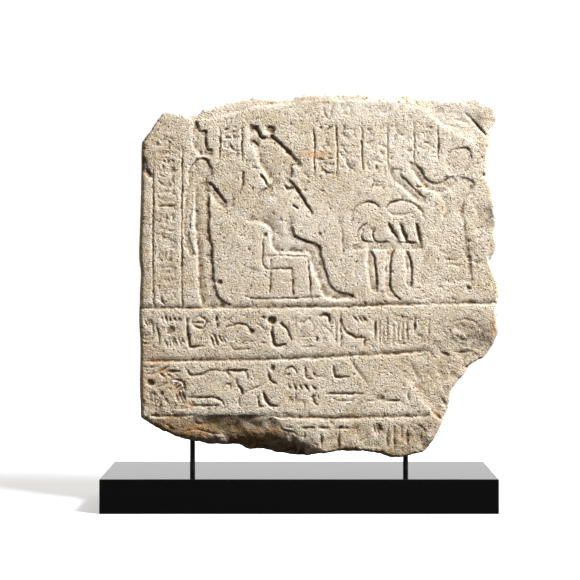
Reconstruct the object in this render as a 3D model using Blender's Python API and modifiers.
"""A broken limestone stele with sunk relief, standing on two rods in a low black base.

Frame: metres, +Z up, origin at the centre of the base's underside, carved face towards -Y.
Points drawn on the carved face are (x, z) in millimetres in that same frame.
"""

import math

import bmesh
import bpy
from mathutils import Vector, noise

MM = 0.001
GAP = 0.3  # clearance between pieces that touch, in millimetres

# Display mount, in millimetres.
BASE_SIZE = (471.0, 140.0, 41.0)
BASE_EDGE = 0.8
ROD_RADIUS = 3.175
ROD_OFFSET = 131.0
ROD_Y = 4.0
ROD_EDGE = 0.5
SOCKET_DEPTH = 25.0
GRIP_DEPTH = 38.0
ROD_SIDES = 32
# How high the stone's broken underside is over each rod.
UNDERSIDES = {"left": 84.0, "right": 64.0}

# Stele, in millimetres.
FACE_Y = -26.0
THICKNESS = 60.0
SUNK_DEPTH = 3.0
PANEL_DEPTH = 1.8
LINE_WIDTH = 3.4
LINE_DEPTH = 2.2
COLUMN_LINE_WIDTH = 2.0
COLUMN_LINE_DEPTH = 1.4
CUTTER_OUT = 2.0  # how far a cutter stands out of the surface that it cuts
DRILL_OUT = 15.0  # the same under the stone, whose underside is uneven
# Each shape of a figure, or mark of a row, is a little deeper than the one before, so that
# no two floors lie in one plane.
FIGURE_STEP = 0.17
MARK_STEP = 0.013

# The outline, clockwise from the lower left as seen from the front.
LEFT_SIDE = [
    (-190, 109), (-191, 150), (-190.5, 195), (-192, 226), (-191, 262), (-190, 284),
    (-192, 303), (-191, 340), (-189.5, 395), (-189, 436), (-186, 444), (-176, 458),
]
TOP_SIDE = [
    (-165, 474), (-158, 476.5), (-144, 473.5), (-131, 469.5), (-121, 473), (-112, 480),
    (-92, 485), (-80, 489), (-55, 493.5), (-30, 490), (-9, 491.5), (-2, 495),
    (12, 498.5), (28, 499), (50, 497.5), (72, 498.5), (100, 493.5), (128, 496.5),
    (142, 492.5), (175, 491), (210, 492.5), (226, 488),
]
RIGHT_SIDE = [
    (235, 480), (236.5, 469), (231, 458), (229, 441), (225, 428), (223, 411),
    (225, 396), (232, 381), (234.5, 350), (234, 330), (236, 315),
    (230, 303), (229.5, 294), (239, 268), (240, 257), (236.5, 236), (239.5, 213),
    (236, 203), (226, 186), (206, 173), (197, 160), (184, 146), (180, 126), (171, 102),
]
BOTTOM_SIDE = [
    (161, 82), (150, 69.5), (118, 61.5), (85, 68.5), (50, 69.5), (20, 65.5), (0, 63.5),
    (-28, 67.5), (-42, 70.5), (-60, 70.5), (-75, 76.5), (-100, 77), (-131, 82),
    (-148, 86), (-166, 94),
]
OUTLINE_STEPS = 2
EVEN_REACH = 3
RAGGED_PITCH = 22.0  # size of the broken edge's bays
RING_SHIFT = 3.7  # moves each ring's bays away from those of the ring in front

# Rings of the slab from front to back: depth behind the face, least inset, ragged inset,
# and how far the small bays of the front outline are evened out.
RINGS = [
    (0.0, 1.6, 2.4, 0.0),
    (3.0, 0.4, 1.0, 0.0),
    (16.0, 0.0, 0.8, 0.25),
    (34.0, 0.8, 4.5, 0.7),
    (52.0, 1.6, 6.0, 1.0),
    (THICKNESS, 5.0, 6.5, 1.0),
]

# Register lines, each a path across the face.
REGISTER_LINES = [
    [(-197, 241.5), (60, 243.5), (120, 246), (232, 248)],
    [(-183, 178), (-60, 179), (62, 184), (157, 189), (166, 180)],
    [(-173, 110), (40, 108.5), (156, 112)],
]
# Column rules of the inscription: x, lower end, upper end.
COLUMN_RULES = [
    (-176, 240, 430), (-141, 240, 433),
    (-95.5, 429, 458), (-69, 419, 460), (-69, 384, 406),
    (17.5, 402, 458), (45, 401, 461), (76, 408, 464),
    (107.5, 409, 466), (139, 416, 466), (167.5, 419, 459),
]

# Broken places: centre (x, behind the face, z), half sizes, turn about Y in degrees.
BREAKS = [
    ((-72, -3, 84), (78, 21, 23), 6),
    ((-12, 2, 70), (46, 20, 16), 10),
    ((-158, -2, 92), (40, 13, 15), -26),
    ((196, -11, 196), (52, 16, 40), -20),
    ((158, -11, 148), (48, 15.5, 32), -40),
    ((206, -10, 132), (32, 16, 44), -30),
    ((205, -7, 476), (46, 13, 20), 32),
    ((-66, -6, 489), (58, 12, 14), -12),
    ((30, -9, 500), (150, 13, 10), 0),
    ((232, -8, 330), (14, 15, 62), 0),
    ((-150, -8, 478), (26, 12, 9), 0),
    ((227, 12, 401), (11, 40, 3.6), 10),
    ((140, -9, 70), (44, 14, 14), 8),
]
# The rough-hewn back: shallow hollows in staggered rows, each turned a little.
HOLLOW_ROWS = 4
HOLLOW_COLUMNS = 3
HOLLOW_HALF_SIZES = (92.0, 17.0, 70.0)
HOLLOW_CENTRE_DEPTH = THICKNESS + 11.5
HOLLOW_FIRST = (-118.0, 118.0)
HOLLOW_PITCH = (136.0, 104.0)
HOLLOW_STAGGER = 0.25  # share of the pitch by which every second row is moved
HOLLOW_WANDER = (30.0, 2.5, 20.0)
HOLLOW_TURN = 60.0
BREAK_SUBDIVISIONS = 3
BREAK_ROUGHNESS = 0.16
BREAK_LUMPS = 2.1  # lumps of the roughness to one radius

STONE = ("limestone", (0.62, 0.54, 0.43, 1), 0.92, 0.0)
LACQUER = ("black_gloss", (0.006, 0.006, 0.007, 1), 0.08, 0.0)
STEEL = ("black_steel", (0.012, 0.011, 0.010, 1), 0.38, 0.6)


# --- plane drawing on the carved face ---------------------------------------------


def smooth(points, steps, closed=False):
    """Points on a Catmull-Rom curve through the given ones."""
    last = len(points)
    spans = range(last) if closed else range(last - 1)
    path = []
    for i in spans:
        if closed:
            a, b, c, d = (Vector(points[(i + k) % last]) for k in (-1, 0, 1, 2))
        else:
            a, b, c, d = (
                Vector(points[min(max(i + k, 0), last - 1)]) for k in (-1, 0, 1, 2)
            )
        for s in range(steps):
            t = s / steps
            path.append(
                0.5
                * (
                    2 * b
                    + (c - a) * t
                    + (2 * a - 5 * b + 4 * c - d) * t**2
                    + (3 * b - a - 3 * c + d) * t**3
                )
            )
    if not closed:
        path.append(Vector(points[-1]))
    return path


def arc(centre, radii, start, end, steps=10):
    """Points on an ellipse from one angle to another, in degrees."""
    path = []
    for s in range(steps + 1):
        turn = math.radians(start + (end - start) * s / steps)
        offset = Vector((radii[0] * math.cos(turn), radii[1] * math.sin(turn)))
        path.append(Vector(centre) + offset)
    return path


def limb(start, end, start_radius, end_radius, steps=5):
    """Outline of a tapered limb with round ends."""
    start, end = Vector(start), Vector(end)
    along = math.degrees(math.atan2(end.y - start.y, end.x - start.x))
    return arc(end, (end_radius, end_radius), along - 90, along + 90, steps) + arc(
        start, (start_radius, start_radius), along + 90, along + 270, steps
    )


# --- solids -----------------------------------------------------------------------


def add_object(name, mesh, collection, material=None):
    piece = bpy.data.objects.new(name, mesh)
    collection.objects.link(piece)
    if material:
        mesh.materials.append(material)
    else:
        piece.hide_render = True
        piece.display_type = "WIRE"
    return piece


def to_mesh(name, solid):
    bmesh.ops.recalc_face_normals(solid, faces=solid.faces)
    mesh = bpy.data.meshes.new(name)
    solid.to_mesh(mesh)
    solid.free()
    return mesh


def add_prism(solid, outline, front, back):
    """A flat outline on the carved face, drawn through from one depth to another."""
    corners = [solid.verts.new((p[0] * MM, front * MM, p[1] * MM)) for p in outline]
    face = solid.faces.new(corners)
    grown = bmesh.ops.extrude_face_region(solid, geom=[face])["geom"]
    moved = [item for item in grown if isinstance(item, bmesh.types.BMVert)]
    bmesh.ops.translate(solid, verts=moved, vec=(0, (back - front) * MM, 0))


def add_groove(solid, path, width, depth):
    """A V-shaped cutter for a carved line along a path."""
    points = [Vector(point) for point in path]
    reach = width / 2 * (1 + CUTTER_OUT / depth)
    rings = []
    for i, point in enumerate(points):
        before = points[max(i - 1, 0)]
        after = points[min(i + 1, len(points) - 1)]
        side = (after - before).normalized().orthogonal() * reach
        corners = [
            (point.x + side.x, FACE_Y - CUTTER_OUT, point.y + side.y),
            (point.x - side.x, FACE_Y - CUTTER_OUT, point.y - side.y),
            (point.x, FACE_Y + depth, point.y),
        ]
        rings.append([solid.verts.new(Vector(corner) * MM) for corner in corners])
    solid.faces.new(rings[0])
    solid.faces.new(reversed(rings[-1]))
    for first, second in zip(rings, rings[1:]):
        for i in range(3):
            j = (i + 1) % 3
            solid.faces.new((first[i], second[i], second[j], first[j]))


def subtract(piece, cutter, overlapping=False):
    """Cuts one object from another; the cutter's own parts may overlap if it says so."""
    cut = piece.modifiers.new(cutter.name, "BOOLEAN")
    cut.operation = "DIFFERENCE"
    cut.solver = "EXACT"
    cut.use_self = overlapping
    cut.object = cutter


def outline_points():
    key_points = LEFT_SIDE + TOP_SIDE + RIGHT_SIDE + BOTTOM_SIDE
    return smooth(key_points, OUTLINE_STEPS, closed=True)


def inset_ring(points, least, ragged, evened, seed):
    """The outline drawn in by an uneven amount, for one depth of the broken edge."""
    count = len(points)
    ring = []
    for i, point in enumerate(points):
        along = (points[(i + 1) % count] - points[i - 1]).normalized()
        inward = Vector((along.y, -along.x))
        near = [points[(i + k) % count] for k in range(-EVEN_REACH, EVEN_REACH + 1)]
        middle = sum(near, Vector((0, 0))) / len(near)
        place = Vector((point.x / RAGGED_PITCH, seed * RING_SHIFT, point.y / RAGGED_PITCH))
        amount = least + ragged * (0.5 + 0.5 * noise.noise(place))
        ring.append(point.lerp(middle, evened) + inward * max(amount, 0.0))
    return ring


def slab_mesh():
    """The slab: uneven rings of the outline joined front to back, and capped."""
    points = outline_points()
    solid = bmesh.new()
    rings = []
    for seed, (depth, least, ragged, evened) in enumerate(RINGS):
        ring = inset_ring(points, least, ragged, evened, seed)
        rings.append(
            [solid.verts.new((p.x * MM, (FACE_Y + depth) * MM, p.y * MM)) for p in ring]
        )
    count = len(points)
    for near, far in zip(rings, rings[1:]):
        for i in range(count):
            j = (i + 1) % count
            solid.faces.new((near[i], near[j], far[j], far[i]))
    for ring in (rings[0], rings[-1]):
        solid.faces.new(ring)
    return to_mesh("stele", solid)


def break_mesh(name, place, half_sizes, turn):
    """A rough boulder-shaped cutter that takes a piece of the face or edge away."""
    solid = bmesh.new()
    bmesh.ops.create_icosphere(solid, subdivisions=BREAK_SUBDIVISIONS, radius=1.0)
    for vert in solid.verts:
        unit = vert.co.normalized()
        swell = noise.fractal(unit * BREAK_LUMPS + Vector(place) * 0.1, 0.8, 2.0, 3)
        radius = 1 + BREAK_ROUGHNESS * swell
        vert.co = Vector([unit[k] * half_sizes[k] * radius for k in range(3)])
    lean = math.radians(turn)
    for vert in solid.verts:
        x, y, z = vert.co
        turned = (
            x * math.cos(lean) + z * math.sin(lean),
            y,
            z * math.cos(lean) - x * math.sin(lean),
        )
        vert.co = Vector(turned) + Vector((place[0], place[1] + FACE_Y, place[2]))
        vert.co *= MM
    return to_mesh(name, solid)


def back_hollows():
    """Place, half sizes and turn of each hollow of the back."""
    hollows = []
    for row in range(HOLLOW_ROWS):
        for column in range(HOLLOW_COLUMNS):
            wander = noise.noise_vector(Vector((row * 5.3, column * 7.1, 0.5)))
            stagger = HOLLOW_STAGGER * HOLLOW_PITCH[0] * (row % 2)
            place = (
                HOLLOW_FIRST[0] + column * HOLLOW_PITCH[0] + stagger + HOLLOW_WANDER[0] * wander.x,
                HOLLOW_CENTRE_DEPTH + HOLLOW_WANDER[1] * wander.y,
                HOLLOW_FIRST[1] + row * HOLLOW_PITCH[1] + HOLLOW_WANDER[2] * wander.z,
            )
            hollows.append((place, HOLLOW_HALF_SIZES, HOLLOW_TURN * wander.y))
    return hollows


def socket_mesh(name, x, low, high):
    """A round drill hole."""
    solid = bmesh.new()
    bmesh.ops.create_cone(
        solid,
        cap_ends=True,
        segments=ROD_SIDES,
        radius1=(ROD_RADIUS + GAP) * MM,
        radius2=(ROD_RADIUS + GAP) * MM,
        depth=(high - low) * MM,
    )
    middle = Vector((x, ROD_Y, (low + high) / 2)) * MM
    bmesh.ops.translate(solid, verts=solid.verts, vec=middle)
    return to_mesh(name, solid)


# --- the carving ------------------------------------------------------------------


def attendant():
    """Standing attendant behind the throne: head, body, hanging arm, raised arm."""
    head = arc((-118.5, 405), (12, 16), -60, 200, 14)
    head += [(-131, 388), (-126, 381), (-112, 388)]
    body = smooth(
        [
            (-124, 378), (-113, 391), (-109.5, 372), (-110, 350), (-107, 325),
            (-105, 296), (-101, 266), (-97, 252), (-84, 243.5), (-118, 243.5),
            (-121, 300), (-124, 345),
        ],
        2,
        closed=True,
    )
    hanging_arm = smooth(
        [(-128, 383), (-125, 371), (-128, 340), (-126, 310), (-129, 305), (-134, 328)],
        3,
        closed=True,
    )
    return [head, body, hanging_arm, limb((-112, 388), (-90, 368.5), 4.5, 3)]


def seated_god():
    """Seated figure: tall crown leaning back, head, shoulders and arm, lap and legs."""
    crown = [
        (-57, 461), (-50, 460), (-46, 450), (-37, 445), (-33, 450), (-20, 437.5),
        (-6, 424), (-2, 405), (-14, 398), (-36, 404), (-46, 421), (-54, 440),
    ]
    head = arc((-19, 410), (16, 17), -90, 240, 16)
    trunk = smooth(
        [
            (-29, 396), (-12, 396), (-4, 387), (4, 376), (15.5, 357), (9, 353),
            (-6, 343), (-8, 330), (8, 324), (24, 318), (-2, 309), (-28, 310),
            (-34, 326), (-38, 342), (-46, 352), (-48, 372), (-41, 387),
        ],
        2,
        closed=True,
    )
    legs = smooth(
        [
            (-20, 309), (24, 319), (27, 303), (33, 281), (40, 265), (50, 259),
            (63, 256.5), (48, 254.5), (34, 256), (30, 268), (13, 307),
        ],
        2,
        closed=True,
    )
    return [crown, head, trunk, legs]


def worshipper():
    """Standing worshipper at the right, both arms raised over the table."""
    head = arc((194, 418), (14, 15.5), -70, 250, 16)
    upper_body = smooth(
        [
            (182, 398), (197, 401), (206, 397), (212, 391), (203, 378), (198, 352),
            (182, 340), (178, 362), (170, 382), (162, 388),
        ],
        2,
        closed=True,
    )
    kilt = smooth(
        [(182, 350), (198, 350), (201, 325), (206, 290), (204, 276), (148, 273),
         (152, 300), (162, 322)],
        2,
        closed=True,
    )
    near_arm = limb((164, 388), (140, 413), 4.5, 3)
    far_arm = limb((154, 377), (121, 402), 4.5, 3.5)
    return [head, upper_body, kilt, near_arm, far_arm]


def offerings():
    """Loaves and joints heaped on the table, and the table's stand."""
    left_loaf = smooth(
        [(64, 346), (65, 361), (75, 368.5), (86, 369), (98, 363), (98, 347)], 2, True
    )
    right_loaf = smooth(
        [(103, 346), (104, 365), (118, 370.5), (135, 369.5), (146, 362), (151, 350),
         (146, 344)],
        2,
        True,
    )
    jars = [limb((80, 336), (79, 326), 6.5, 5.5), limb((95, 336), (95, 325), 5, 5)]
    wedges = [
        limb((110, 340), (115, 326), 4, 5),
        limb((125, 338), (133, 324), 4, 5.5),
        limb((143, 338), (147, 322), 3.6, 3),
    ]
    stand = smooth(
        [(110, 311), (131, 311), (137, 292), (134, 270), (131, 256), (120, 250),
         (111, 258), (108.5, 282)],
        2,
        True,
    )
    return [left_loaf, right_loaf, *jars, *wedges, limb((89, 305), (89.5, 266), 4, 4), stand]


def throne_rules():
    """Straight lines of the block throne, its corner panel and the dais."""
    return [
        [(-43, 330), (-44, 290)], [(-41, 288), (-8, 288.5)], [(-8, 289), (-7.5, 256)],
        [(-37, 304), (10, 303.5)], [(10.5, 303), (13.5, 255)], [(-34.5, 299), (-35, 259)],
        [(-60, 253), (12, 253.5)], [(-57, 250), (-57, 243)],
    ]


# Larger marks of the two written rows and of the broken row below, as short limbs:
# start, end, start radius, end radius. They are plain strokes and shapes, not letters.
ROW_MARKS = [
    ((-136, 226), (-131, 197), 1.9, 1.9), ((-124, 225), (-121, 225), 4.2, 4.2),
    ((-99, 228), (-97, 219), 2, 1.4), ((-92, 207), (-84, 214), 8, 7),
    ((-64, 209), (-46, 209), 10.5, 11), ((-34, 226), (-33, 226), 3.2, 3.2),
    ((-26, 205), (-21, 211), 7, 7), ((30, 231), (37, 227), 1.8, 2),
    ((55, 218), (63, 208), 1.8, 1.8), ((66, 230), (80, 225.5), 1.8, 1.6),
    ((-150, 149), (-144, 145), 5, 5), ((-128, 133), (-102, 131), 1.6, 1.6),
    ((-126, 123.5), (-98, 123.5), 1.4, 1.4), ((-74, 150), (-72, 128), 3.5, 2.4),
    ((-32, 137), (-26, 131), 9, 8), ((-34, 160), (-31, 152), 1.8, 1.6),
    ((10, 168), (9, 156), 1.5, 1.5), ((44, 161), (58, 158), 2, 1.6),
    ((38, 136.5), (72, 136.5), 1.6, 1.4), ((18, 96), (6, 97), 1.6, 1.2),
    ((37, 94.5), (25, 96.5), 1.6, 1.2), ((60, 93), (47, 96), 1.6, 1.2),
    ((6.5, 92), (8, 76), 1.5, 1.2), ((26, 92), (27.5, 76), 1.5, 1.2),
    ((47, 91), (48, 76), 1.5, 1.2),
]


def carving_cutters(collection):
    """Every cutter of the carved face, grouped so that shapes in one mesh stay apart."""
    cutters = []

    def close(name, solid):
        cutters.append(add_object(name, to_mesh(name, solid), collection))

    figures = {
        "attendant": attendant(),
        "god": seated_god(),
        "worshipper": worshipper(),
        "offerings": offerings(),
    }
    for figure, outlines in figures.items():
        depth = PANEL_DEPTH if figure == "offerings" else SUNK_DEPTH
        for index, outline in enumerate(outlines):
            solid = bmesh.new()
            add_prism(solid, outline, FACE_Y - CUTTER_OUT, FACE_Y + depth + FIGURE_STEP * index)
            close(f"cut_{figure}_{index}", solid)

    rules = bmesh.new()
    for path in REGISTER_LINES:
        add_groove(rules, path, LINE_WIDTH, LINE_DEPTH)
    close("cut_register_lines", rules)

    columns = bmesh.new()
    for x, low, high in COLUMN_RULES:
        path = [(x, low), (x, high)]
        add_groove(columns, path, COLUMN_LINE_WIDTH, COLUMN_LINE_DEPTH)
    close("cut_column_rules", columns)

    throne = bmesh.new()
    for path in throne_rules():
        add_groove(throne, path, COLUMN_LINE_WIDTH, COLUMN_LINE_DEPTH)
    close("cut_throne", throne)

    marks = bmesh.new()
    for index, (start, end, start_radius, end_radius) in enumerate(ROW_MARKS):
        outline = limb(start, end, start_radius, end_radius, 3)
        floor = FACE_Y + PANEL_DEPTH + MARK_STEP * index
        add_prism(marks, outline, FACE_Y - CUTTER_OUT, floor)
    close("cut_marks", marks)
    return cutters


# --- the pieces -------------------------------------------------------------------


def make_material(name, colour, roughness, metallic):
    material = bpy.data.materials.new(name)
    material.use_nodes = True
    shader = material.node_tree.nodes["Principled BSDF"]
    shader.inputs["Base Color"].default_value = colour
    shader.inputs["Roughness"].default_value = roughness
    shader.inputs["Metallic"].default_value = metallic
    material.diffuse_color = colour
    return material


def make_base(collection, helpers, material):
    bpy.ops.mesh.primitive_cube_add(size=1, location=(0, 0, BASE_SIZE[2] / 2 * MM))
    base = bpy.context.object
    base.name = base.data.name = "base"
    base.scale = Vector(BASE_SIZE) * MM
    bpy.ops.object.transform_apply(location=True, rotation=False, scale=True)
    for owner in base.users_collection:
        owner.objects.unlink(base)
    collection.objects.link(base)
    base.data.materials.append(material)
    edge = base.modifiers.new("edge", "BEVEL")
    edge.width = BASE_EDGE * MM
    edge.segments = 2
    for side, x in (("left", -ROD_OFFSET), ("right", ROD_OFFSET)):
        low, high = BASE_SIZE[2] - SOCKET_DEPTH - GAP, BASE_SIZE[2] + CUTTER_OUT
        name = f"socket_{side}"
        subtract(base, add_object(name, socket_mesh(name, x, low, high), helpers))


def make_rod(name, x, top, collection, material):
    low = BASE_SIZE[2] - SOCKET_DEPTH
    bpy.ops.mesh.primitive_cylinder_add(
        vertices=ROD_SIDES,
        radius=ROD_RADIUS * MM,
        depth=(top - low) * MM,
        location=(x * MM, ROD_Y * MM, (low + top) / 2 * MM),
    )
    rod = bpy.context.object
    rod.name = rod.data.name = name
    for owner in rod.users_collection:
        owner.objects.unlink(rod)
    collection.objects.link(rod)
    rod.data.materials.append(material)
    rod.data.shade_smooth()
    rod.data.set_sharp_from_angle(angle=math.radians(40))
    edge = rod.modifiers.new("edge", "BEVEL")
    edge.width = ROD_EDGE * MM
    edge.limit_method = "ANGLE"
    edge.segments = 1


def make_stele(collection, helpers, material, rod_tops):
    stele = add_object("stele", slab_mesh(), collection, material)
    for cutter in carving_cutters(helpers):
        subtract(stele, cutter, overlapping=cutter.name in ("cut_throne", "cut_marks"))
    for index, (place, half_sizes, turn) in enumerate(BREAKS + back_hollows()):
        name = f"break_{index}"
        mesh = break_mesh(name, place, half_sizes, turn)
        subtract(stele, add_object(name, mesh, helpers))
    for side, (x, top) in rod_tops.items():
        name = f"drill_{side}"
        mesh = socket_mesh(name, x, top - GRIP_DEPTH - DRILL_OUT, top + GAP)
        subtract(stele, add_object(name, mesh, helpers))


def main():
    for old in list(bpy.data.objects):
        bpy.data.objects.remove(old)
    scene = bpy.context.scene
    collection = bpy.data.collections.new("stele_on_mount")
    helpers = bpy.data.collections.new("cutters")
    scene.collection.children.link(collection)
    scene.collection.children.link(helpers)

    stone = make_material(*STONE)
    lacquer = make_material(*LACQUER)
    steel = make_material(*STEEL)

    rod_tops = {
        "left": (-ROD_OFFSET, UNDERSIDES["left"] + GRIP_DEPTH),
        "right": (ROD_OFFSET, UNDERSIDES["right"] + GRIP_DEPTH),
    }
    make_base(collection, helpers, lacquer)
    for side, (x, top) in rod_tops.items():
        make_rod(f"{side}_rod", x, top, collection, steel)
    make_stele(collection, helpers, stone, rod_tops)


main()
